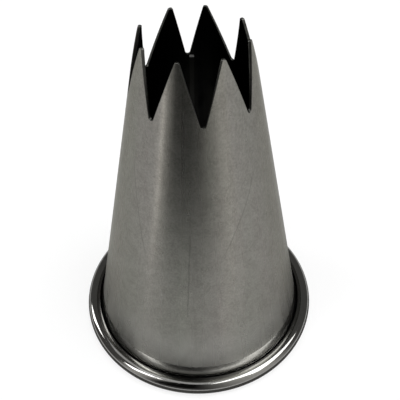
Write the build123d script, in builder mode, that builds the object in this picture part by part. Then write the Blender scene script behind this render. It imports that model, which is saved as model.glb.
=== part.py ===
from build123d import *
import os
from math import acos, asin, cos, degrees, radians, sin

# A star nozzle for a pastry bag, drawn from one piece of thin stainless sheet.
# Units are millimetres. It stands on its rolled rim with the mouth up and its axis on Z.

# Overall sizes, over the outside of the sheet
mouth_diameter = 14.0
rim_diameter = 39.4
nozzle_height = 52.4
sheet_thickness = 0.4

# Star mouth
tooth_count = 8
tooth_height = 7.8
tooth_tip_width = 0.5
tooth_tip_radius = 0.2
notch_root_radius = 0.35

# Wire that stiffens the rim
wire_diameter = 1.6
wire_clearance = 0.02
wire_end_gap = 0.5

# Flare and rolled rim: the flare leans this far from the axis where the roll takes over
flare_radius = 12.3
flare_end_angle = 26.0
lip_gap = 0.3
stand_flat_depth = 0.05

# The cutting tools run this far past what they cut
cut_overrun = 2.0

os.makedirs("parts", exist_ok=True)


def tangent_point(start, centre, radius):
    """Where a line from start touches a circle that it leaves on its left."""
    to_centre = centre - start
    turn = degrees(asin(radius / to_centre.length))
    run = to_centre.length * cos(radians(turn))
    return start + to_centre.normalized().rotate(Axis.Z, -turn) * run


# Rim section: the sheet's outer face wraps the wire, and its inner face becomes the bead
roll_inner_radius = wire_diameter / 2 + wire_clearance
bead_radius = roll_inner_radius + sheet_thickness
wire_centre = Vector(rim_diameter / 2 - bead_radius, bead_radius - stand_flat_depth)

# The flare is an arc that runs into the roll, so its centre, the wire and the join are in line
flare_reach = flare_radius - roll_inner_radius
flare_centre = wire_centre + Vector(flare_reach, 0).rotate(Axis.Z, flare_end_angle)

# The roll goes on round the wire until its lip is a narrow gap away from the flare
lip_reach = flare_radius - lip_gap
lip_cosine = (flare_reach**2 + bead_radius**2 - lip_reach**2) / (2 * flare_reach * bead_radius)
roll_turn = 180 + degrees(acos(lip_cosine))

# The plain cone is the straight line from the mouth that touches the flare
mouth_edge = Vector(mouth_diameter / 2, nozzle_height)
cone_foot = tangent_point(mouth_edge, flare_centre, flare_radius)
cone_direction = (cone_foot - mouth_edge).normalized()
inward = cone_direction.rotate(Axis.Z, -90) * sheet_thickness
flare_turn = flare_end_angle - degrees(asin(cone_direction.X))

# A notch is a straight V with a round root. Between two notches a tooth keeps a narrow tip.
half_pitch = 180 / tooth_count
tip_half_angle = degrees(asin(tooth_tip_width / mouth_diameter))
notch_half_width = mouth_diameter / 2 * sin(radians(half_pitch - tip_half_angle))
notch_corner = Vector(-notch_half_width, nozzle_height)
root_centre = Vector(0, nozzle_height - tooth_height + notch_root_radius)
flank_foot = tangent_point(notch_corner, root_centre, notch_root_radius)
flank_slope = (notch_corner.Y - flank_foot.Y) / (flank_foot.X - notch_corner.X)
notch_point_height = nozzle_height - notch_half_width * flank_slope

# The blank runs past the mouth, and the notch cutters trim it to the tooth tips
blank_edge = mouth_edge - cone_direction * cut_overrun
cutter_side = mouth_diameter / 2 + cut_overrun
cutter_top = nozzle_height + 2 * cut_overrun
cutter_reach = cone_foot.X + cut_overrun
notch_outline = [
    (-cutter_side, cutter_top),
    (-cutter_side, nozzle_height),
    (-notch_half_width, nozzle_height),
    (0, notch_point_height),
    (notch_half_width, nozzle_height),
    (cutter_side, nozzle_height),
    (cutter_side, cutter_top),
]
notch_radii = [0, 0, tooth_tip_radius, notch_root_radius, tooth_tip_radius, 0, 0]
notch_planes = [
    Plane.XZ.rotated((0, 0, index * 2 * half_pitch)) for index in range(tooth_count)
]

# Nozzle shell: mouth teeth, cone, flare and rolled rim are one sheet
with BuildPart() as nozzle_shell:
    with BuildSketch(Plane.XZ):
        with BuildLine():
            outer_cone = Line(blank_edge, cone_foot)
            outer_flare = JernArc(outer_cone @ 1, outer_cone % 1, flare_radius, flare_turn)
            roll_inside = JernArc(outer_flare @ 1, outer_flare % 1, roll_inner_radius, roll_turn)
            inner_cone = Line(blank_edge + inward, cone_foot + inward)
            inner_flare = JernArc(
                inner_cone @ 1, inner_cone % 1, flare_radius + sheet_thickness, flare_turn
            )
            roll_outside = JernArc(inner_flare @ 1, inner_flare % 1, bead_radius, roll_turn)
            Line(outer_cone @ 0, inner_cone @ 0)
            Line(roll_inside @ 1, roll_outside @ 1)
        make_face()
    revolve(axis=Axis.Z)

    with BuildSketch(*notch_planes):
        with BuildLine():
            FilletPolyline(*notch_outline, radius=notch_radii, close=True)
        make_face()
    extrude(amount=cutter_reach, mode=Mode.SUBTRACT)

    with BuildSketch(Plane.XY):
        Circle(rim_diameter / 2 + cut_overrun)
    extrude(amount=-cut_overrun, mode=Mode.SUBTRACT)

# Rim wire: a ring of round wire held inside the roll, its two ends almost meeting at the back
wire_gap_angle = degrees(wire_end_gap / wire_centre.X)
wire_start_plane = Plane.XZ.rotated((0, 0, 90 + wire_gap_angle / 2))

with BuildPart() as rim_wire:
    with BuildSketch(wire_start_plane):
        with Locations(wire_centre):
            Circle(wire_diameter / 2)
    revolve(axis=Axis.Z, revolution_arc=360 - wire_gap_angle)

nozzle_shell.part.label = "nozzle_shell"
rim_wire.part.label = "rim_wire"

export_step(nozzle_shell.part, "parts/nozzle_shell.step")
export_step(rim_wire.part, "parts/rim_wire.step")
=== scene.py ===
# %% [markdown]
# A star nozzle for a pastry bag is one piece of thin stainless sheet. Eight teeth are cut in its
# mouth, its wall is a plain cone, and its foot flares out and rolls over a wire ring.
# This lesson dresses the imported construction: the wire ring stays, and a finer skin with rounded
# cut edges stands for the shell, in exactly the same place.

# %% Load the frame
import bpy
from math import acos, asin, atan2, cos, degrees, pi, radians, sin, tau
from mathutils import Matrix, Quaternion, Vector


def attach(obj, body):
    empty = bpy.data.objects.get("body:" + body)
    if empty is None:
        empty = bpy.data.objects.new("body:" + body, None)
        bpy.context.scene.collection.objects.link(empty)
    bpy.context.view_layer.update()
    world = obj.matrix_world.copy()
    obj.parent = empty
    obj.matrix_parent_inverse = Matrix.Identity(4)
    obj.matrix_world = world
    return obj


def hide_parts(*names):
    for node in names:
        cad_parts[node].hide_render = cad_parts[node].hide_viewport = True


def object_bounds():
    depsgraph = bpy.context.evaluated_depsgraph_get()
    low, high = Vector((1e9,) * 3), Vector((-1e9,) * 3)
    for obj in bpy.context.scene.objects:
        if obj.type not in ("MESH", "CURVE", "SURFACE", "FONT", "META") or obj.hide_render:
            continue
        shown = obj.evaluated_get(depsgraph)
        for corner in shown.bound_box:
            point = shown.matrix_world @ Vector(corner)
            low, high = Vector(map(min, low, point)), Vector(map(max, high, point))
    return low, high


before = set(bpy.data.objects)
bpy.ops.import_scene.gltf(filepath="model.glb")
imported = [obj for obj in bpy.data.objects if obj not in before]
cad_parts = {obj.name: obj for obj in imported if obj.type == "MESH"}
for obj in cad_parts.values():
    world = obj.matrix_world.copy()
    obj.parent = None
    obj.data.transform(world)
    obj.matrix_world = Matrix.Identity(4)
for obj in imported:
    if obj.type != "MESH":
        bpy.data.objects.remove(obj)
cad_low, cad_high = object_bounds()
mm = 0.001
scene = bpy.context.scene
print("nodes:", sorted(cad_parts), "height", round(cad_high.z / mm, 2), "mm")

# %% [markdown]
# The picture was taken from a hand's breadth away, looking down at half a right angle. Such a
# near camera makes the mouth look large and the foot small. A long lens from far away could
# never give that look, so the camera stands at its real distance and the lens is chosen for it.

# %% Camera
camera_place = Vector((-6.65, -62.77, 87.65)) * mm
camera_target = Vector((0.45, -0.05, 24.23)) * mm
camera_roll = radians(-0.86)
camera_lens = 52.78
camera_sensor = 36

camera_data = bpy.data.cameras.new("photo_camera")
camera_data.lens = camera_lens
camera_data.sensor_width = camera_sensor
camera_data.clip_start = 1 * mm
camera_data.clip_end = 10
camera = bpy.data.objects.new("photo_camera", camera_data)
scene.collection.objects.link(camera)
camera.rotation_mode = "QUATERNION"
camera.location = camera_place
aim = (camera_target - camera_place).to_track_quat("-Z", "Y")
camera.rotation_quaternion = aim @ Quaternion((0, 0, 1), camera_roll)
scene.camera = camera
print("camera distance", round((camera_target - camera_place).length / mm, 1), "mm")

# %% [markdown]
# The shell follows a rule from top to bottom, so a few real sizes draw it. The two lines that
# matter are the sheet's section through the rim and the line of one notch. Both are worked out
# here in the same way as a sheet-metal worker would set them out.

# %% Sizes of the sheet
nozzle_height = cad_high.z
rim_radius = cad_high.x
mouth_radius = 7.0 * mm
sheet = 0.4 * mm
tooth_count = 8
tooth_height = 7.8 * mm
tooth_tip_width = 0.5 * mm
tooth_tip_radius = 0.2 * mm
notch_root_radius = 0.35 * mm
wire_radius = 0.8 * mm
wire_clearance = 0.02 * mm
flare_radius = 12.3 * mm
flare_end_angle = radians(26)
lip_gap = 0.3 * mm
stand_flat_depth = 0.05 * mm

roll_inner_radius = wire_radius + wire_clearance
bead_radius = roll_inner_radius + sheet
wire_centre = Vector((rim_radius - bead_radius, bead_radius - stand_flat_depth))
flare_reach = flare_radius - roll_inner_radius
flare_centre = wire_centre + flare_reach * Vector((cos(flare_end_angle), sin(flare_end_angle)))
print("wire ring radius", round(wire_centre.x / mm, 2), "mm")

# %% Where the cone meets the flare
mouth_edge = Vector((mouth_radius, nozzle_height))
to_flare = flare_centre - mouth_edge
tangent_turn = asin(flare_radius / to_flare.length)
cone_lean = pi / 2 + atan2(to_flare.y, to_flare.x) - tangent_turn
cone_run = to_flare.length * cos(tangent_turn)
cone_foot = mouth_edge + cone_run * Vector((sin(cone_lean), -cos(cone_lean)))
cone_slope = (cone_foot.x - mouth_edge.x) / (mouth_edge.y - cone_foot.y)
level_sheet = sheet / cos(cone_lean)
print("cone leans", round(degrees(cone_lean), 2), "degrees, foot at", cone_foot / mm)


def cone_radius(height):
    """Outside radius of the plain cone at a height."""
    return mouth_radius + (nozzle_height - height) * cone_slope


# %% [markdown]
# A chain of points is the simplest thing that Geometry Nodes can turn into a curve. The rim's
# section goes down the inside of the cone, round the outside of the bead, over the lip, back
# round the wire and up the outside. Round stretches are arcs, so more steps make them smoother.

# %% Draw chains of points
def make_chain(name, points, **values):
    """A mesh of points joined in order, hidden from the render, with extra values per point."""
    mesh = bpy.data.meshes.new(name)
    links = [(index, index + 1) for index in range(len(points) - 1)]
    mesh.from_pydata([(point[0], 0, point[1]) for point in points], links, [])
    for key, numbers in values.items():
        mesh.attributes.new(key, "FLOAT", "POINT").data.foreach_set("value", numbers)
    chain = bpy.data.objects.new(name, mesh)
    scene.collection.objects.link(chain)
    return chain


def arc(centre, radius, start, end, steps):
    """Points on an arc from one angle to another, both ends included."""
    angles = [start + (end - start) * step / steps for step in range(steps + 1)]
    return [centre + radius * Vector((cos(angle), sin(angle))) for angle in angles]


def straight(start, end, steps):
    """Points between two ends, both ends left out."""
    return [start.lerp(end, step / steps) for step in range(1, steps)]


# %% Section of the rim
crown_margin = 1.6 * mm
crown_depth = tooth_height + crown_margin
join_height = nozzle_height - crown_depth
cone_rows = 12
flare_steps = 8
bead_steps = 64
roll_steps = 36
lip_round = 0.1 * mm
lip_steps = 4

inward = -sheet * Vector((cos(cone_lean), sin(cone_lean)))
flare_start_angle = pi + cone_lean
flare_stop_angle = pi + flare_end_angle
lip_reach = flare_radius - lip_gap
lip_cosine = (flare_reach**2 + bead_radius**2 - lip_reach**2) / (2 * flare_reach * bead_radius)
roll_end_angle = flare_stop_angle + pi + acos(lip_cosine)

outer_join = Vector((cone_radius(join_height), join_height))
inner_join = outer_join - Vector((level_sheet, 0))
inner_foot = cone_foot + inward
bead_end_angle = roll_end_angle - lip_round / bead_radius
roll_stop_angle = roll_end_angle - lip_round / roll_inner_radius
lip_out = Vector((cos(roll_end_angle), sin(roll_end_angle)))
lip_along = Vector((-sin(roll_end_angle), cos(roll_end_angle)))
lip_top = wire_centre + lip_out * (bead_radius - lip_round) - lip_along * lip_round
lip_bottom = wire_centre + lip_out * (roll_inner_radius + lip_round) - lip_along * lip_round

rim_points = [inner_join]
rim_points += straight(inner_join, inner_foot, cone_rows)
rim_points += arc(
    flare_centre, flare_radius + sheet, flare_start_angle, flare_stop_angle, flare_steps
)
rim_points += arc(wire_centre, bead_radius, flare_stop_angle, bead_end_angle, bead_steps)[1:]
rim_points += arc(lip_top, lip_round, roll_end_angle, roll_end_angle + pi / 2, lip_steps)[1:]
rim_points += arc(lip_bottom, lip_round, roll_end_angle + pi / 2, roll_end_angle + pi, lip_steps)
rim_points += arc(wire_centre, roll_inner_radius, roll_stop_angle, flare_stop_angle, roll_steps)[1:]
rim_points += arc(flare_centre, flare_radius, flare_stop_angle, flare_start_angle, flare_steps)[1:]
rim_points += straight(cone_foot, outer_join, cone_rows)
rim_points += [outer_join]
rim_points = [Vector((point.x, max(point.y, 0))) for point in rim_points]
rim_section = make_chain("rim_section", rim_points)
print("rim section:", len(rim_points), "points")

# %% Line of one notch
half_pitch = pi / tooth_count
tip_half_angle = asin(tooth_tip_width / 2 / mouth_radius)
notch_half_width = mouth_radius * sin(half_pitch - tip_half_angle)
tip_middle = mouth_radius * sin(half_pitch)
root_centre = Vector((0, nozzle_height - tooth_height + notch_root_radius))
to_root = root_centre - Vector((-notch_half_width, nozzle_height))
flank_angle = atan2(to_root.y, to_root.x) - asin(notch_root_radius / to_root.length)
notch_point = nozzle_height + notch_half_width * sin(flank_angle) / cos(flank_angle)

notch_points = [
    Vector((-tip_middle, nozzle_height)),
    Vector((-notch_half_width, nozzle_height)),
    Vector((0, notch_point)),
    Vector((notch_half_width, nozzle_height)),
    Vector((tip_middle, nozzle_height)),
]
notch_rounds = [0, tooth_tip_radius, notch_root_radius, tooth_tip_radius, 0]
notch_line = make_chain("notch_line", notch_points, corner=notch_rounds)
print("notch runs down to", round(notch_point / mm, 2), "mm before its root is rounded")

# %% Section of the cut edge
edge_round = 0.07 * mm
edge_steps = 3
edge_hold = 0.03 * mm
wall_row_shares = [1, 0.72, 0.5, 0.32, 0.18, 0.07]

edge_back = edge_round + edge_hold
wall_run = crown_depth - edge_back
wall_rows = [Vector((0, edge_back + wall_run * share)) for share in wall_row_shares]
edge_points = wall_rows + [Vector((0, edge_back))]
edge_points += arc(Vector((edge_round, edge_round)), edge_round, pi, pi * 1.5, edge_steps)
inner_corner = Vector((level_sheet - edge_round, edge_round))
edge_points += arc(inner_corner, edge_round, pi * 1.5, pi * 2, edge_steps)
edge_points += [Vector((level_sheet, edge_back))]
edge_points += [Vector((level_sheet, row.y)) for row in reversed(wall_rows)]
edge_section = make_chain("edge_section", edge_points)
print("cut edge section:", len(edge_points), "points")


# %% [markdown]
# Node trees read best when they are written like sums. This small helper adds a node, links what
# is a socket and types in what is a number, so that a formula takes one line for each operation.

# %% Helper for node trees
class Tree:
    """Adds nodes to one node tree and joins them."""

    def __init__(self, tree):
        self.tree = tree

    def add(self, kind, values=None, **settings):
        """A node with its settings, its typed-in numbers and its links."""
        node = self.tree.nodes.new(kind)
        for name, value in settings.items():
            setattr(node, name, value)
        for place, value in (values or {}).items():
            if isinstance(value, bpy.types.NodeSocket):
                self.tree.links.new(value, node.inputs[place])
            else:
                node.inputs[place].default_value = value
        return node

    def math(self, operation, *values):
        """The result of one sum."""
        return self.add("ShaderNodeMath", dict(enumerate(values)), operation=operation).outputs[0]

    def vector(self, x, y, z):
        """Three numbers as one vector."""
        return self.add("ShaderNodeCombineXYZ", {0: x, 1: y, 2: z}).outputs[0]

    def split(self, vector):
        """One vector as three numbers."""
        return self.add("ShaderNodeSeparateXYZ", {0: vector}).outputs


def outer_socket(tree, name, kind="NodeSocketFloat", side="INPUT"):
    """Gives a tree or group a named socket on its outside."""
    tree.interface.new_socket(name, in_out=side, socket_type=kind)


# %% [markdown]
# The star mouth is one notch repeated eight times. The tree rounds the corners of the notch line,
# sweeps the section of the cut edge along it to get a grid, and then places each point of the
# grid by rule: near the cut it keeps its distance from the line, and further down it settles on
# a plain ring. A cutter could take the notches out of a plain cone instead, but its cut edge
# would stay sharp, and a sharp edge never catches the light as a real sheet does.

# %% Tree for the star shell: notch line
shell_tree = bpy.data.node_groups.new("star_shell_rule", "GeometryNodeTree")
outer_socket(shell_tree, "Notch Line", "NodeSocketGeometry")
shell_inputs = {
    "Edge Section": ("NodeSocketObject", edge_section),
    "Rim Section": ("NodeSocketObject", rim_section),
    "Teeth": ("NodeSocketInt", tooth_count),
    "Mouth Radius": ("NodeSocketFloat", mouth_radius),
    "Height": ("NodeSocketFloat", nozzle_height),
    "Slope": ("NodeSocketFloat", cone_slope),
    "Join Height": ("NodeSocketFloat", join_height),
    "Edge Back": ("NodeSocketFloat", edge_back),
    "Wall Run": ("NodeSocketFloat", wall_run),
    "Level Sheet": ("NodeSocketFloat", level_sheet),
    "Column Step": ("NodeSocketFloat", 0.6 * mm),
    "Tooth Root": ("NodeSocketFloat", nozzle_height - tooth_height),
    "Back Lean": ("NodeSocketFloat", radians(3.5)),
    "Round Steps": ("NodeSocketInt", 5),
}
for socket_name, (socket_kind, _) in shell_inputs.items():
    outer_socket(shell_tree, socket_name, socket_kind)
outer_socket(shell_tree, "Shell", "NodeSocketGeometry", "OUTPUT")

gn = Tree(shell_tree)
given = gn.add("NodeGroupInput").outputs
position = gn.add("GeometryNodeInputPosition").outputs[0]
index = gn.add("GeometryNodeInputIndex").outputs[0]


def stored(name, kind="FLOAT"):
    """Reads a value that was stored on the points under a name."""
    node = gn.add("GeometryNodeInputNamedAttribute", {"Name": name}, data_type=kind)
    return node.outputs["Attribute"]


def store(geometry, name, value, kind="FLOAT"):
    """Stores a value on the points under a name."""
    values = {"Geometry": geometry, "Name": name, "Value": value}
    return gn.add("GeometryNodeStoreNamedAttribute", values, data_type=kind).outputs[0]


bare_line = gn.add("GeometryNodeMeshToCurve", {"Mesh": given["Notch Line"]}).outputs[0]
round_values = {"Curve": bare_line, "Radius": stored("corner"), "Count": given["Round Steps"]}
round_line = gn.add("GeometryNodeFilletCurve", round_values, mode="POLY").outputs[0]
next_values = {"Index": gn.math("ADD", index, 1), "Value": position}
next_point = gn.add("GeometryNodeFieldAtIndex", next_values, data_type="FLOAT_VECTOR").outputs[0]
gap = gn.add("ShaderNodeVectorMath", {0: position, 1: next_point}, operation="DISTANCE")
cuts = gn.math("FLOOR", gn.math("DIVIDE", gap.outputs["Value"], given["Column Step"]))
fine_line = gn.add("GeometryNodeSubdivideCurve", {"Curve": round_line, "Cuts": cuts}).outputs[0]
line_size = gn.add("GeometryNodeAttributeDomainSize", {"Geometry": fine_line}, component="CURVE")
columns = gn.math("SUBTRACT", line_size.outputs["Point Count"], 1)
line_point = store(fine_line, "line_point", position, "FLOAT_VECTOR")
tangent = gn.split(gn.add("GeometryNodeInputTangent").outputs[0])
into_sheet = gn.vector(tangent["Z"], 0, gn.math("MULTIPLY", tangent["X"], -1))
line_normal = store(line_point, "into_sheet", into_sheet, "FLOAT_VECTOR")
line_ready = store(line_normal, "column", gn.math("DIVIDE", index, columns))
print("notch line:", len(shell_tree.nodes), "nodes")

# %% Tree for the star shell: crown
def swept(curve, section):
    """Sweeps a drawn section along a curve, only to get the grid and its stored values."""
    info = gn.add("GeometryNodeObjectInfo", {"Object": section}, transform_space="ORIGINAL")
    profile = gn.add("GeometryNodeMeshToCurve", {"Mesh": info.outputs["Geometry"]}).outputs[0]
    profile = store(profile, "section_point", position, "FLOAT_VECTOR")
    return gn.add("GeometryNodeCurveToMesh", {"Curve": curve, "Profile Curve": profile}).outputs[0]


crown_grid = swept(line_ready, given["Edge Section"])
section = gn.split(stored("section_point", "FLOAT_VECTOR"))
depth = section["X"]
back = gn.math("MINIMUM", section["Z"], given["Edge Back"])
below = gn.math("DIVIDE", gn.math("SUBTRACT", section["Z"], given["Edge Back"]), given["Wall Run"])
below = gn.math("MAXIMUM", below, 0)
offset_values = {0: stored("into_sheet", "FLOAT_VECTOR"), 1: gn.vector(back, back, back)}
edge_offset = gn.add("ShaderNodeVectorMath", offset_values, operation="MULTIPLY").outputs[0]
edge_values = {0: stored("line_point", "FLOAT_VECTOR"), 1: edge_offset}
edge_place = gn.split(gn.add("ShaderNodeVectorMath", edge_values, operation="ADD").outputs[0])


def mix(share, low, high):
    """Blends two numbers by a share."""
    return gn.math("MULTIPLY_ADD", gn.math("SUBTRACT", high, low), share, low)


def wall_radius(height):
    """Outside radius of the sheet at a height."""
    drop = gn.math("SUBTRACT", given["Height"], height)
    return gn.math("MULTIPLY_ADD", drop, given["Slope"], given["Mouth Radius"])


pitch = gn.math("DIVIDE", tau, given["Teeth"])
half_turn = gn.math("MULTIPLY", pitch, 0.5)
from_middle = gn.math("SUBTRACT", stored("column"), 0.5)
even_turn = gn.math("MULTIPLY", from_middle, pitch)
cut_turn = gn.math("ARCSINE", gn.math("DIVIDE", edge_place["X"], wall_radius(edge_place["Z"])))
# The columns in the middle of a tooth are half a notch away, less a hair for rounding
almost_half = 0.4999
on_tooth_middle = gn.math("GREATER_THAN", gn.math("ABSOLUTE", from_middle), almost_half)
edge_turn = mix(on_tooth_middle, cut_turn, even_turn)
turn = mix(below, edge_turn, even_turn)
height = mix(below, edge_place["Z"], given["Join Height"])
radius = gn.math("SUBTRACT", wall_radius(height), depth)


def placed(geometry, angle, radius, level):
    """Puts each point at an angle from the front, a radius and a height."""
    x = gn.math("MULTIPLY", gn.math("SINE", angle), radius)
    y = gn.math("MULTIPLY", gn.math("COSINE", angle), gn.math("MULTIPLY", radius, -1))
    values = {"Geometry": geometry, "Position": gn.vector(x, y, level)}
    return gn.add("GeometryNodeSetPosition", values).outputs[0]


crown = placed(crown_grid, turn, radius, height)
almost_whole = 0.999
almost_through = gn.math("MULTIPLY", given["Level Sheet"], almost_whole)
outside_cut = gn.math("GREATER_THAN", depth, 0)
inside_cut = gn.math("LESS_THAN", depth, almost_through)
crown = store(crown, "cut_face", gn.math("MULTIPLY", outside_cut, inside_cut))
ring_points = gn.add("GeometryNodePoints", {"Count": given["Teeth"]}).outputs[0]
ring_turn = gn.vector(0, 0, gn.math("MULTIPLY", index, pitch))
ring_values = {"Points": ring_points, "Instance": crown, "Rotation": ring_turn}
crown_ring = gn.add("GeometryNodeInstanceOnPoints", ring_values).outputs[0]
crown_ring = gn.add("GeometryNodeRealizeInstances", {"Geometry": crown_ring}).outputs[0]
print("notch line and crown:", len(shell_tree.nodes), "nodes")

# %% [markdown]
# The sheet was rolled into a cone and welded up the back, and the two teeth beside that weld
# lean a little towards each other. They could be pushed over by hand once the tree has run, but
# then the rule would no longer tell the whole shape. So the tree turns the points of these two
# teeth about the axis, more and more towards their tips.

# %% Tree for the star shell: the two teeth beside the weld
place = gn.split(position)
azimuth = gn.math("ARCTAN2", place["X"], gn.math("MULTIPLY", place["Y"], -1))
beside_weld = gn.math("GREATER_THAN", gn.math("ABSOLUTE", azimuth), gn.math("SUBTRACT", pi, pitch))
tooth_length = gn.math("SUBTRACT", given["Height"], given["Tooth Root"])
up_tooth = gn.math("DIVIDE", gn.math("SUBTRACT", place["Z"], given["Tooth Root"]), tooth_length)
lean = gn.math("MULTIPLY", gn.math("MAXIMUM", up_tooth, 0), given["Back Lean"])
lean = gn.math("MULTIPLY", gn.math("MULTIPLY", lean, gn.math("SIGN", azimuth)), beside_weld)
flat_place = gn.vector(place["X"], place["Y"], 0)
flat_length = gn.add("ShaderNodeVectorMath", {0: flat_place}, operation="LENGTH").outputs["Value"]
crown_ring = placed(crown_ring, gn.math("ADD", azimuth, lean), flat_length, place["Z"])
print("the two back teeth lean", round(degrees(shell_inputs["Back Lean"][1]), 2), "degrees")

# %% [markdown]
# Below the teeth the sheet was spun on a lathe, so the rim is its section turned about the axis.
# A Screw modifier could turn it too. Here the section is swept round a circle that has exactly
# as many points as the lower ring of the crown, so that both parts meet point for point and a
# merge closes the skin.

# %% Tree for the star shell: rim
ring_size = gn.math("MULTIPLY", columns, given["Teeth"])
circle = gn.add("GeometryNodeCurvePrimitiveCircle", {"Resolution": ring_size}).outputs[0]
circle = store(circle, "column", gn.math("DIVIDE", index, ring_size))
rim_grid = swept(circle, given["Rim Section"])
rim_turn = gn.math("MULTIPLY_ADD", stored("column"), tau, gn.math("MULTIPLY", half_turn, -1))
rim = placed(rim_grid, rim_turn, section["X"], section["Z"])
print("tree for the star shell:", len(shell_tree.nodes), "nodes")

# %% [markdown]
# One sheet shows six finishes. The outside of the cone is satin, the flare is polished and painted
# lighter than the bead, the bead shines like a mirror, the inside is dull and painted nearly
# black as painted shade, the groove behind the lip is painted black as painted shade, and the cut
# edges are a thin grey line. One material with masks could hold them all. A material for each is
# easier to read, and the tree gives it to faces by their place, so the line between satin and
# polish is as crisp as on the steel.

# %% Blank materials, one for each finish
finish_names = [
    "satin_cone",
    "polished_bead",
    "bright_flare",
    "inside_painted_shade",
    "painted_black_groove",
    "cut_edge",
]
finishes = {name: bpy.data.materials.new(name) for name in finish_names}
foot_line = cone_foot.y
# On the flare below this line, the painted shade of the groove begins
groove_shade_depth = 0.1 * mm
groove_shade_top = lip_top.y - groove_shade_depth
print("finishes:", finish_names)

# %% Tree for the star shell: join and finish
merge_distance = 0.002 * mm
joined = gn.add("GeometryNodeJoinGeometry")
shell_tree.links.new(rim, joined.inputs[0])
shell_tree.links.new(crown_ring, joined.inputs[0])
realized = gn.add("GeometryNodeRealizeInstances", {"Geometry": joined.outputs[0]}).outputs[0]
merge_values = {"Geometry": realized, "Distance": merge_distance}
whole = gn.add("GeometryNodeMergeByDistance", merge_values).outputs[0]
whole = gn.add("GeometryNodeFlipFaces", {"Mesh": whole}).outputs[0]
whole = gn.add("GeometryNodeSetShadeSmooth", {"Geometry": whole}).outputs[0]

normal = gn.add("GeometryNodeInputNormal").outputs[0]
facing_out = gn.add("ShaderNodeVectorMath", {0: flat_place, 1: normal}, operation="DOT_PRODUCT")
facing_in = gn.math("LESS_THAN", facing_out.outputs["Value"], 0)
from_wire = gn.math("SUBTRACT", flat_length, wire_centre.x)
over_wire = gn.math("SUBTRACT", place["Z"], wire_centre.y)
wire_sum = gn.math("MULTIPLY_ADD", over_wire, over_wire, gn.math("MULTIPLY", from_wire, from_wire))
wire_distance = gn.math("SQRT", wire_sum)
is_polished = gn.math("LESS_THAN", place["Z"], foot_line)
within_wire = gn.math("LESS_THAN", from_wire, -wire_radius / 2)
is_flare = gn.math("MULTIPLY", is_polished, gn.math("SUBTRACT", within_wire, facing_in))
# Faces that take the painted shade of the inside
inside_shade_faces = gn.math("MULTIPLY", facing_in, gn.math("GREATER_THAN", place["Z"], foot_line))
# The inside of the roll and the flare below the lip take the painted shade of the groove
in_roll = gn.math("LESS_THAN", wire_distance, roll_inner_radius + sheet / 4)
below_lip = gn.math("MULTIPLY", is_flare, gn.math("LESS_THAN", place["Z"], groove_shade_top))
groove_shade_faces = gn.math("MAXIMUM", in_roll, below_lip)
cut_share = 0.4
is_cut = gn.math("GREATER_THAN", stored("cut_face"), cut_share)

satin_values = {"Geometry": whole, "Material": finishes["satin_cone"]}
finished = gn.add("GeometryNodeSetMaterial", satin_values)
chosen_faces = {
    "polished_bead": is_polished,
    "bright_flare": is_flare,
    "inside_painted_shade": inside_shade_faces,
    "painted_black_groove": groove_shade_faces,
    "cut_edge": is_cut,
}
for finish, chosen in chosen_faces.items():
    values = {"Geometry": finished.outputs[0], "Selection": chosen, "Material": finishes[finish]}
    finished = gn.add("GeometryNodeSetMaterial", values)
gn.add("NodeGroupOutput", {"Shell": finished.outputs[0]})
print("whole tree:", len(shell_tree.nodes), "nodes")

# %% [markdown]
# The tree runs once, on the chain of points that draws the notch. It could stay live on the
# object, but a plain mesh is easier to measure and to hand on, so the result is kept and the
# chains are taken away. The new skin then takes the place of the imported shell.

# %% Run the tree and keep its mesh
def tree_result(chain, tree, inputs, name):
    """Runs a tree on a chain and keeps what it makes as a plain mesh."""
    modifier = chain.modifiers.new("rule", "NODES")
    modifier.node_group = tree
    for socket in tree.interface.items_tree:
        if socket.name in inputs:
            modifier[socket.identifier] = inputs[socket.name][1]
    evaluated = chain.evaluated_get(bpy.context.evaluated_depsgraph_get())
    mesh = bpy.data.meshes.new_from_object(evaluated)
    mesh.name = name
    piece = bpy.data.objects.new(name, mesh)
    scene.collection.objects.link(piece)
    chain.modifiers.remove(modifier)
    return piece


star_shell = tree_result(notch_line, shell_tree, shell_inputs, "star_shell")
for chain in (notch_line, edge_section, rim_section):
    bpy.data.objects.remove(chain)
shell_mesh = star_shell.data
shell_mesh.materials.pop(index=0)
print("star shell:", len(shell_mesh.vertices), "points,", len(shell_mesh.polygons), "faces,")
print("materials:", [m.name for m in shell_mesh.materials])

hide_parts("nozzle_shell")
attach(star_shell, "root")

# %% [markdown]
# Steel is never one flat grey. The sheet was brushed along its length before it was rolled, and
# the cone was then turned against a polishing cloth. So it has soft streaks that run up it and
# very fine lines that run round it, under a few hair scratches and worn spots. A picture of steel
# could be wrapped round it, but it would stretch on the flare and blur from near. So each effect
# is a group of nodes that reads the place on the object, and every finish uses it at its own
# strength.

# %% Helper for effect groups
def effect_group(name, inputs, output):
    """A shader group with named numbers in and one mask out."""
    tree = bpy.data.node_groups.new(name, "ShaderNodeTree")
    for socket_name in inputs:
        outer_socket(tree, socket_name)
    outer_socket(tree, output, "NodeSocketFloat", "OUTPUT")
    nodes = Tree(tree)
    return nodes, nodes.add("NodeGroupInput").outputs


def object_place(nodes):
    """The place on the object as three numbers, in metres."""
    return nodes.split(nodes.add("ShaderNodeTexCoord").outputs["Object"])


def around_axis(nodes):
    """The place on the object as a direction from the axis and a height, in millimetres."""
    here = object_place(nodes)
    flat = nodes.vector(here["X"], here["Y"], 0)
    outward = nodes.add("ShaderNodeVectorMath", {0: flat}, operation="NORMALIZE").outputs[0]
    outward = nodes.split(outward)
    ring = mouth_radius * 2 / mm
    x = nodes.math("MULTIPLY", outward["X"], ring)
    y = nodes.math("MULTIPLY", outward["Y"], ring)
    return x, y, nodes.math("DIVIDE", here["Z"], mm)


def in_sizes(nodes, around, along):
    """The same place, counted in sizes round the axis and along it."""
    x, y, z = around_axis(nodes)
    x = nodes.math("DIVIDE", x, around)
    y = nodes.math("DIVIDE", y, around)
    return x, y, nodes.math("DIVIDE", z, along)


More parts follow.
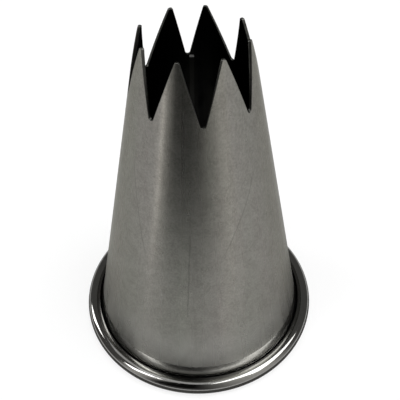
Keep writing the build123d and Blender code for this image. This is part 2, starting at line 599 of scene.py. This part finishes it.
def noise(nodes, vector, scale=1.0, detail=2.0, roughness=0.5):
    """Value of a noise at a vector."""
    values = {"Vector": vector, "Scale": scale, "Detail": detail, "Roughness": roughness}
    return nodes.add("ShaderNodeTexNoise", values).outputs["Fac"]


def ramp(nodes, value, low, high, from_value=0.0, to_value=1.0):
    """Maps low..high to from..to, smoothly, and stops at both ends."""
    values = {0: value, 1: low, 2: high, 3: from_value, 4: to_value}
    node = nodes.add("ShaderNodeMapRange", values, interpolation_type="SMOOTHSTEP")
    return node.outputs[0]


# %% Directions round the object, and where the weld is
def direction(azimuth, elevation):
    """Unit vector from the object: azimuth 0 is towards the camera's side, 90 to the right."""
    around = radians(azimuth)
    up = radians(elevation)
    return Vector((sin(around) * cos(up), -cos(around) * cos(up), sin(up)))


seam_azimuth = 176.7
print("the weld runs up the back, at", tuple(round(part, 3) for part in direction(seam_azimuth, 0)))


# %% Effects that run with the brushing
def make_streaks():
    """Soft streaks that run along the cone, or round it."""
    nodes, inside = effect_group("streaks", ["Width", "Length"], "Streaks")
    x, y, z = in_sizes(nodes, inside["Width"], inside["Length"])
    value = noise(nodes, nodes.vector(x, y, z), detail=3.0)
    nodes.add("NodeGroupOutput", {"Streaks": ramp(nodes, value, 0.25, 0.75)})
    return nodes.tree


def make_scratches():
    """Thin broken lines, where a stretched noise passes through its middle value."""
    names = ["Spacing", "Stretch", "Thinness", "Amount"]
    nodes, inside = effect_group("hair_scratches", names, "Scratches")
    stretched = nodes.math("MULTIPLY", inside["Spacing"], inside["Stretch"])
    x, y, z = in_sizes(nodes, inside["Spacing"], stretched)
    value = noise(nodes, nodes.vector(x, y, z), detail=1.0)
    off_line = nodes.math("ABSOLUTE", nodes.math("SUBTRACT", value, 0.5))
    line = ramp(nodes, off_line, 0.0, inside["Thinness"], 1.0, 0.0)
    broken = noise(nodes, nodes.vector(y, z, x), scale=0.7)
    shown = nodes.math("SUBTRACT", 1.0, inside["Amount"])
    shown = ramp(nodes, broken, shown, nodes.math("ADD", shown, 0.1))
    nodes.add("NodeGroupOutput", {"Scratches": nodes.math("MULTIPLY", line, shown)})
    return nodes.tree


streaks_group = make_streaks()
scratches_group = make_scratches()
print("effects:", streaks_group.name, "and", scratches_group.name)


# %% Effects of wear
def make_spots():
    """Soft patches of handling and wear."""
    nodes, inside = effect_group("worn_spots", ["Size", "Amount"], "Spots")
    x, y, z = in_sizes(nodes, inside["Size"], inside["Size"])
    value = noise(nodes, nodes.vector(x, y, z), detail=5.0, roughness=0.6)
    shown = nodes.math("SUBTRACT", 1.0, inside["Amount"])
    spots = ramp(nodes, value, shown, nodes.math("ADD", shown, 0.2))
    nodes.add("NodeGroupOutput", {"Spots": spots})
    return nodes.tree


def make_long_scratch():
    """One thin scratch at a degree and a height in mm. Its half width is in degrees."""
    names = ["Degree", "Height", "Degrees Per Height", "Half Length", "Half Width"]
    nodes, inside = effect_group("long_scratch", names, "Scratch")
    x, y, z = around_axis(nodes)
    degree = nodes.math("DEGREES", nodes.math("ARCTAN2", x, nodes.math("MULTIPLY", y, -1)))
    up = nodes.math("SUBTRACT", z, inside["Height"])
    middle = nodes.math("MULTIPLY_ADD", up, inside["Degrees Per Height"], inside["Degree"])
    waver = nodes.math("SUBTRACT", noise(nodes, nodes.vector(x, y, z), scale=0.4), 0.5)
    aside = nodes.math("MULTIPLY_ADD", waver, 1.5, nodes.math("SUBTRACT", degree, middle))
    across = nodes.math("DIVIDE", nodes.math("ABSOLUTE", aside), inside["Half Width"])
    along = nodes.math("DIVIDE", nodes.math("ABSOLUTE", up), inside["Half Length"])
    line = ramp(nodes, across, 0.3, 1.0, 1.0, 0.0)
    line = nodes.math("MULTIPLY", line, ramp(nodes, along, 0.6, 1.0, 1.0, 0.0))
    nodes.add("NodeGroupOutput", {"Scratch": line})
    return nodes.tree


spots_group = make_spots()
long_group = make_long_scratch()
print("effects:", spots_group.name, "and", long_group.name)


# %% Effects of the steel itself
def make_seam():
    """The line where the two edges of the rolled sheet were welded, up the back of the cone."""
    nodes, inside = effect_group("weld_seam", ["Half Width"], "Seam")
    here = object_place(nodes)
    along = direction(seam_azimuth, 0)
    aside = nodes.math("MULTIPLY", here["X"], -along.y)
    aside = nodes.math("MULTIPLY_ADD", here["Y"], along.x, aside)
    wander = noise(nodes, nodes.vector(0, 0, here["Z"]), scale=900.0)
    aside = nodes.math("MULTIPLY_ADD", wander, 0.1 * mm, aside)
    share = nodes.math("DIVIDE", nodes.math("ABSOLUTE", aside), inside["Half Width"])
    line = ramp(nodes, share, 0.6, 1.0, 1.0, 0.0)
    behind = nodes.math("GREATER_THAN", here["Y"], 0)
    nodes.add("NodeGroupOutput", {"Seam": nodes.math("MULTIPLY", line, behind)})
    return nodes.tree


def make_grain():
    """Fine even mottling, as on brushed steel seen from near."""
    nodes, inside = effect_group("grain", ["Size"], "Grain")
    here = nodes.add("ShaderNodeTexCoord").outputs["Object"]
    per_size = nodes.math("DIVIDE", 1 / mm, inside["Size"])
    value = noise(nodes, here, scale=per_size, roughness=0.7)
    nodes.add("NodeGroupOutput", {"Grain": ramp(nodes, value, 0.3, 0.7)})
    return nodes.tree


seam_group = make_seam()
grain_group = make_grain()
print("effects:", seam_group.name, "and", grain_group.name)


# %% Helpers for finishes
def effect(nodes, group, **values):
    """Places an effect group in a material with its own values."""
    named = {key.replace("_", " "): value for key, value in values.items()}
    return nodes.add("ShaderNodeGroup", named, node_tree=group).outputs[0]


def empty_tree(owner):
    """Turns on the node tree of a material or a world, and empties it."""
    owner.use_nodes = True
    owner.node_tree.nodes.clear()
    return Tree(owner.node_tree)


# Colour sockets of the Mix node, which go by number because others share their names
mix_under = 6
mix_over = 7
mix_result = 2


def tint(nodes, share, first, second):
    """Blends two colours by a mask."""
    node = nodes.add("ShaderNodeMix", {"Factor": share}, data_type="RGBA")
    node.inputs[mix_under].default_value = (*first, 1)
    node.inputs[mix_over].default_value = (*second, 1)
    return node.outputs[mix_result]


def lay(nodes, under, mask, strength, over):
    """Lays a plain colour over another by a mask, no more than its strength lets it."""
    share = nodes.math("MULTIPLY", mask, strength)
    node = nodes.add("ShaderNodeMix", {"Factor": share}, data_type="RGBA")
    nodes.tree.links.new(under, node.inputs[mix_under])
    node.inputs[mix_over].default_value = (*over, 1)
    return node.outputs[mix_result]


def bumped(nodes, height, depth):
    """A surface direction that a height mask tilts, as deep as it says."""
    return nodes.add("ShaderNodeBump", {"Height": height, "Distance": depth}).outputs[0]


def steel(nodes, values):
    """Ends a material's tree with a metal shader that has these values."""
    shader = nodes.add("ShaderNodeBsdfPrincipled", {"Metallic": 1.0, **values})
    nodes.add("ShaderNodeOutputMaterial", {"Surface": shader.outputs[0]})


# %% [markdown]
# The cone is the largest surface, so it gets the most effects. Brushing pulls its reflections out
# into tall soft bands. A rough metal alone would blur them in every direction, and the
# anisotropic setting blurs them in one. The colour wanders between a cooler and a warmer grey,
# with a fine grain, worn spots, small nicks and three long scratches. Low down, towards the
# flare, a painted light makes the colour lighter.

# %% Satin outside of the cone
nodes = empty_tree(finishes["satin_cone"])
streaks = effect(nodes, streaks_group, Width=1.6, Length=60.0)
broad = effect(nodes, streaks_group, Width=7.0, Length=50.0)
lines = effect(nodes, streaks_group, Width=9.0, Length=0.12)
scratches = effect(nodes, scratches_group, Spacing=2.0, Stretch=0.3, Thinness=0.007, Amount=0.42)
spots = effect(nodes, spots_group, Size=5.0, Amount=0.42)
nicks = effect(nodes, spots_group, Size=0.8, Amount=0.33)
grain = effect(nodes, grain_group, Size=0.28)
mottling = effect(nodes, grain_group, Size=1.6)
seam = effect(nodes, seam_group, Half_Width=0.35 * mm)

# Painted light: the colour grows lighter from here down to the foot of the cone
foot_light_from = 13 * mm
painted_foot_light = ramp(nodes, object_place(nodes)["Z"], foot_light_from, foot_line)

# Of each long scratch: its degree, its height, degrees for each millimetre of height, half length
scratch_places = [(26, 31, 2.7, 7), (-51, 31, -1.3, 8), (-12, 22, 0.15, 9)]
long_scratches = 0.0
for degree, level, slant, half in scratch_places:
    one_scratch = effect(
        nodes,
        long_group,
        Degree=degree,
        Height=level,
        Degrees_Per_Height=slant,
        Half_Length=half,
        Half_Width=0.7,
    )
    long_scratches = nodes.math("MAXIMUM", long_scratches, one_scratch)

colour = tint(nodes, broad, (0.194, 0.197, 0.172), (0.224, 0.21, 0.196))
colour = lay(nodes, colour, streaks, 0.3, (0.25, 0.246, 0.226))
colour = lay(nodes, colour, spots, 0.2, (0.145, 0.142, 0.124))
colour = lay(nodes, colour, grain, 0.55, (0.11, 0.109, 0.097))
colour = lay(nodes, colour, mottling, 0.22, (0.3, 0.298, 0.275))
# painted light towards the foot
colour = lay(nodes, colour, painted_foot_light, 0.5, (0.4, 0.397, 0.375))
colour = lay(nodes, colour, scratches, 0.3, (0.1, 0.1, 0.09))
colour = lay(nodes, colour, nicks, 0.35, (0.09, 0.09, 0.08))
colour = lay(nodes, colour, long_scratches, 0.4, (0.09, 0.09, 0.08))
colour = lay(nodes, colour, seam, 0.45, (0.13, 0.128, 0.115))
rough = nodes.math("MULTIPLY_ADD", spots, 0.08, 0.25)
dents = nodes.math("MULTIPLY", nodes.math("MAXIMUM", scratches, long_scratches), -1)
satin = {
    "Base Color": colour,
    "Roughness": nodes.math("MULTIPLY_ADD", streaks, 0.05, rough),
    "Normal": bumped(nodes, nodes.math("MULTIPLY_ADD", lines, 0.25, dents), 0.004 * mm),
    "Anisotropic": 0.85,
    "Anisotropic Rotation": 0.25,
    "Specular Tint": (0.6, 0.6, 0.57, 1),
}
steel(nodes, satin)
print("satin cone:", len(nodes.tree.nodes), "nodes")

# %% [markdown]
# The bead is polished almost to a mirror, so it is drawn by what it mirrors: bright lamps, dark
# cards and the floor. It could be one plain mirror, but a trace of grain and a few marks keep it
# real from near. The cloth reached the flare less well. It is a little duller, its colour is
# painted lighter than the bead's as painted light, and a painted highlight runs along its upper
# end.

# %% Polished bead
nodes = empty_tree(finishes["polished_bead"])
scratches = effect(nodes, scratches_group, Spacing=2.5, Stretch=0.2, Thinness=0.01, Amount=0.5)
spots = effect(nodes, spots_group, Size=3.0, Amount=0.45)
grain = effect(nodes, grain_group, Size=0.4)
colour = tint(nodes, spots, (0.255, 0.253, 0.243), (0.205, 0.203, 0.195))
colour = lay(nodes, colour, grain, 0.25, (0.15, 0.149, 0.142))
colour = lay(nodes, colour, scratches, 0.3, (0.3, 0.3, 0.3))
rough = nodes.math("MULTIPLY_ADD", spots, 0.06, 0.07)
tilted = bumped(nodes, scratches, 0.002 * mm)
steel(nodes, {"Base Color": colour, "Roughness": rough, "Normal": tilted})
print("polished bead:", len(nodes.tree.nodes), "nodes")

# %% Polished flare
nodes = empty_tree(finishes["bright_flare"])
spots = effect(nodes, spots_group, Size=3.0, Amount=0.45)
grain = effect(nodes, grain_group, Size=0.4)
# Painted light: the flare's steel colour is painted lighter than the bead's
colour = tint(nodes, spots, (0.39, 0.387, 0.371), (0.325, 0.322, 0.308))
colour = lay(nodes, colour, grain, 0.3, (0.25, 0.247, 0.236))
# Painted highlight: a bright line along the upper end of the flare
flare_glint_low = foot_line - 0.5 * mm
flare_glint_high = foot_line - 0.1 * mm
painted_flare_glint = ramp(nodes, object_place(nodes)["Z"], flare_glint_low, flare_glint_high)
colour = lay(nodes, colour, painted_flare_glint, 0.25, (0.8, 0.795, 0.77))
rough = nodes.math("MULTIPLY_ADD", spots, 0.06, 0.18)
tilted = bumped(nodes, grain, 0.002 * mm)
steel(nodes, {"Base Color": colour, "Roughness": rough, "Normal": tilted})
print("polished flare:", len(nodes.tree.nodes), "nodes")

# %% [markdown]
# Nobody polishes the inside, so it stays dull, and hardly any light gets in. Its colour is painted
# nearly black, as painted shade. A plain black would hide the little that shows: a few streaks,
# and the weld as a faint line that ends in a small painted glint at the root of a notch. So the
# inside is painted shade over very dark steel with both of them.

# %% Dull inside
nodes = empty_tree(finishes["inside_painted_shade"])
# Painted glint: a small bright patch where the weld ends, at the root of a notch
weld_glint_height = nozzle_height - tooth_height - 0.35 * mm
weld_glint_half = 0.2 * mm
seam = effect(nodes, seam_group, Half_Width=0.4 * mm)
weld_glint = nodes.math("COMPARE", object_place(nodes)["Z"], weld_glint_height, weld_glint_half)
streaks = effect(nodes, streaks_group, Width=1.2, Length=50.0)
spots = effect(nodes, spots_group, Size=4.0, Amount=0.5)
# Painted shade: the colour of the inside is nearly black
colour = tint(nodes, streaks, (0.007, 0.007, 0.007), (0.011, 0.011, 0.01))
colour = lay(nodes, colour, spots, 0.5, (0.005, 0.005, 0.005))
colour = lay(nodes, colour, seam, 0.5, (0.025, 0.025, 0.023))
# Painted glint at the top of the weld
colour = lay(nodes, colour, seam, weld_glint, (0.45, 0.45, 0.44))
rough = nodes.math("MULTIPLY_ADD", spots, 0.1, 0.3)
dull = {"Base Color": colour, "Roughness": rough, "Specular Tint": (0.1, 0.1, 0.1, 1)}
steel(nodes, dull)
print("dull inside:", len(nodes.tree.nodes), "nodes")

# %% [markdown]
# Three small finishes are left. The groove behind the lip and the inside of the roll are painted
# nearly black, as painted shade, the cut edge is as wide as the sheet is thick, and the wire shows
# only through the gap at the lip. Plain colours would nearly do, but a few spots or scratches on
# each hold up when seen from near.

# %% Groove and cut edge
nodes = empty_tree(finishes["painted_black_groove"])
spots = effect(nodes, spots_group, Size=1.5, Amount=0.5)
# Painted shade: nearly black, for the shade in the groove and the roll
colour = tint(nodes, spots, (0.01, 0.01, 0.01), (0.02, 0.019, 0.018))
steel(nodes, {"Base Color": colour, "Roughness": 0.45})
print("groove:", len(nodes.tree.nodes), "nodes")

nodes = empty_tree(finishes["cut_edge"])
spots = effect(nodes, spots_group, Size=0.6, Amount=0.5)
colour = tint(nodes, spots, (0.075, 0.075, 0.07), (0.045, 0.045, 0.042))
rough = nodes.math("MULTIPLY_ADD", spots, 0.15, 0.3)
edge = {"Base Color": colour, "Roughness": rough, "Specular Tint": (0.4, 0.4, 0.38, 1)}
steel(nodes, edge)
print("cut edge:", len(nodes.tree.nodes), "nodes")

# %% Wire
wire_finish = bpy.data.materials.new("wire_steel")
nodes = empty_tree(wire_finish)
scratches = effect(nodes, scratches_group, Spacing=0.6, Stretch=0.3, Thinness=0.03, Amount=0.5)
colour = tint(nodes, scratches, (0.3, 0.3, 0.295), (0.2, 0.2, 0.19))
tilted = bumped(nodes, scratches, 0.002 * mm)
steel(nodes, {"Base Color": colour, "Roughness": 0.3, "Normal": tilted})
rim_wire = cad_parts["rim_wire"]
rim_wire.data.materials.clear()
rim_wire.data.materials.append(wire_finish)
print("wire ring keeps its packed mesh:", len(rim_wire.data.polygons), "faces")

# %% [markdown]
# The floor is pale and plain, and it should look white without losing the soft shadow round the
# rim. Strong lamps could make it white, but then the shadow and the pale steel would burn out.
# So the camera and the mirrors see three parts of plain white and one part of the lit floor.
# Away from the object it turns fully white, so no edge shows against the white room.

# %% Floor
floor_half = 1.5
white_share = 0.75
white_from = 0.12
white_to = 0.45
floor_mesh = bpy.data.meshes.new("floor")
corners = [(-1, -1), (1, -1), (1, 1), (-1, 1)]
floor_points = [(x * floor_half, y * floor_half, 0) for x, y in corners]
floor_mesh.from_pydata(floor_points, [], [(0, 1, 2, 3)])
floor = bpy.data.objects.new("floor", floor_mesh)
scene.collection.objects.link(floor)


def seen_directly(nodes):
    """1 for what the camera, a mirror or a glass looks at, and 0 for light that only falls."""
    path = nodes.add("ShaderNodeLightPath").outputs
    seen = nodes.math("MAXIMUM", path["Is Camera Ray"], path["Is Glossy Ray"])
    return nodes.math("MAXIMUM", seen, path["Is Transmission Ray"])


floor_finish = bpy.data.materials.new("pale_floor")
nodes = empty_tree(floor_finish)
matt = nodes.add("ShaderNodeBsdfDiffuse", {"Color": (0.93, 0.93, 0.93, 1)})
white = nodes.add("ShaderNodeEmission", {"Color": (1, 1, 1, 1), "Strength": 1.0})
here = nodes.add("ShaderNodeTexCoord").outputs["Object"]
away = nodes.add("ShaderNodeVectorMath", {0: here}, operation="LENGTH").outputs["Value"]
whiteness = ramp(nodes, away, white_from, white_to, white_share, 1.0)
share = nodes.math("MULTIPLY", seen_directly(nodes), whiteness)
both = nodes.add("ShaderNodeMixShader", {0: share, 1: matt.outputs[0], 2: white.outputs[0]})
nodes.add("ShaderNodeOutputMaterial", {"Surface": both.outputs[0]})
floor_mesh.materials.append(floor_finish)
print("floor shows", white_share, "of white near the object")

# %% [markdown]
# The room is a plain white world. A picture of a studio could go all round instead, but its
# windows and lamps would show in the polished steel. The world sheds less light than it shows,
# because light from all sides takes away both the shadow and the shape.

# %% World
world_light = 0.3
world = bpy.data.worlds.new("studio")
scene.world = world
nodes = empty_tree(world)
strength = nodes.math("MULTIPLY_ADD", seen_directly(nodes), 1.0 - world_light, world_light)
background = nodes.add("ShaderNodeBackground", {"Color": (1, 1, 1, 1), "Strength": strength})
nodes.add("ShaderNodeOutputWorld", {"Surface": background.outputs[0]})
scene.view_settings.view_transform = "Standard"
print("room is white where it is seen, and lights with", world_light)

# %% [markdown]
# Four soft boxes draw the highlights of the bead. They could be pushed about by eye. It is
# quicker to place each by the direction from which the bead mirrors it, and to size it by an
# angle, because that is how a highlight on a round bar shows: a wide box gives a long highlight,
# and a high box gives a thick one.


# %% Soft boxes
box_distance = 0.5


def soft_box(name, azimuth, elevation, wide, high, radiance):
    """A soft box at a direction, as wide and high as two angles, with a radiance."""
    data = bpy.data.lights.new(name, "AREA")
    data.shape = "RECTANGLE"
    data.size = 2 * box_distance * sin(radians(wide / 2))
    data.size_y = 2 * box_distance * sin(radians(high / 2))
    data.energy = radiance * data.size * data.size_y * pi
    box = bpy.data.objects.new(name, data)
    scene.collection.objects.link(box)
    box.location = direction(azimuth, elevation) * box_distance
    box.rotation_mode = "QUATERNION"
    box.rotation_quaternion = (-direction(azimuth, elevation)).to_track_quat("-Z", "Y")
    box.visible_camera = False


soft_box("right_box", azimuth=70, elevation=65, wide=44, high=36, radiance=5.5)
soft_box("left_box", azimuth=-71, elevation=54, wide=9, high=34, radiance=9.0)
soft_box("left_back_box", azimuth=-118, elevation=33, wide=11, high=28, radiance=8.0)
soft_box("upper_left_box", azimuth=-138, elevation=68, wide=26, high=16, radiance=0.8)


# %% [markdown]
# Polished steel needs something dark to mirror, or it turns as white as the room. Dark cards
# stand where the photographer stood, and a grey tent goes round the set. Real cards would also
# shade the floor, so the camera, the falling light and the shadows pass through these, and only
# reflections change. Two bright strips on the floor draw the two light lines on the cone.


# %% Shading of the cards
def plain(nodes, brightness):
    """One brightness all over a card."""
    return brightness


def graduated(nodes, brightness):
    """A card's own brightness in front, then white to the left and right, and grey behind."""
    here = object_place(nodes)
    azimuth = nodes.math("ARCTAN2", here["X"], nodes.math("MULTIPLY", here["Y"], -1))
    behind = 0.15
    left = ramp(nodes, azimuth, radians(-60), radians(-36), 1.0, 0.0)
    left_end = ramp(nodes, azimuth, radians(-80), radians(-60), behind, 1.0)
    right = ramp(nodes, azimuth, radians(-16), radians(46), 0.0, 1.0)
    right_end = ramp(nodes, azimuth, radians(46), radians(85), 1.0, behind)
    left = nodes.math("MINIMUM", left, left_end)
    right = nodes.math("MINIMUM", right, right_end)
    return nodes.math("MAXIMUM", brightness, nodes.math("MAXIMUM", left, right))


# %% Cards that only mirrors see
card_tint = (1, 0.985, 0.95, 1)
degrees_per_face = 7.5
strip_height = 0.8 * mm
mat_height = 0.5 * mm
contact_shadow_height = 0.3 * mm


def card(name, places, faces, brightness, shading):
    """A card that shines evenly, or as a shading says, for mirrors only."""
    mesh = bpy.data.meshes.new(name)
    mesh.from_pydata(places, [], faces)
    finish = bpy.data.materials.new(name)
    nodes = empty_tree(finish)
    values = {"Color": card_tint, "Strength": shading(nodes, brightness)}
    shine = nodes.add("ShaderNodeEmission", values)
    nodes.add("ShaderNodeOutputMaterial", {"Surface": shine.outputs[0]})
    mesh.materials.append(finish)
    piece = bpy.data.objects.new(name, mesh)
    scene.collection.objects.link(piece)
    piece.visible_camera = False
    piece.visible_diffuse = False
    piece.visible_shadow = False


def fan_card(name, azimuths, inner, outer, brightness, shading=plain):
    """A card swept about the axis from one (radius, height) to another."""
    start, end = azimuths
    steps = max(1, round((end - start) / degrees_per_face))
    turns = [start + (end - start) * step / steps for step in range(steps + 1)]
    places = []
    for away, level in (inner, outer):
        places += [direction(turn, 0) * away + Vector((0, 0, level)) for turn in turns]
    row = steps + 1
    faces = [(step, step + 1, step + 1 + row, step + row) for step in range(steps)]
    card(name, places, faces, brightness, shading)


def strip_card(name, start, end, widths, brightness):
    """A straight strip just over the floor, from one (x, y) to another, as wide as it says."""
    start = Vector((*start, strip_height))
    end = Vector((*end, strip_height))
    aside = (end - start).cross(Vector((0, 0, 1))).normalized() / 2
    near = aside * widths[0]
    far = aside * widths[1]
    places = [start - near, start + near, end + far, end - far]
    card(name, places, [(0, 1, 2, 3)], brightness, plain)


# %% Place the cards
all_round = (0, 360)
in_front = (-60, 46)
dark = 0.01
tent_radius = 0.6
screen_radius = 0.16

# Each fan runs from one distance and height to another, in metres, and has a brightness
fan_card("grey_tent", all_round, (tent_radius, 0.002), (tent_radius, 1.6), 0.12, graduated)
# A grey ring round the foot, seen only by mirrors, is a painted contact shadow
fan_card("contact_mat", all_round, (0.0195, contact_shadow_height), (0.024, contact_shadow_height), 0.17)
fan_card("front_screen", in_front, (screen_radius, 0.05), (screen_radius, 0.67), dark, graduated)
fan_card("front_mat", in_front, (0.068, mat_height), (tent_radius, mat_height), dark, graduated)
fan_card("left_strip", (-61, -55), (0.07, strip_height), (0.25, strip_height), brightness=1.9)
strip_card("right_strip", (0.006, -0.03), (0.062, -0.08), (0.0025, 0.01), brightness=1.6)
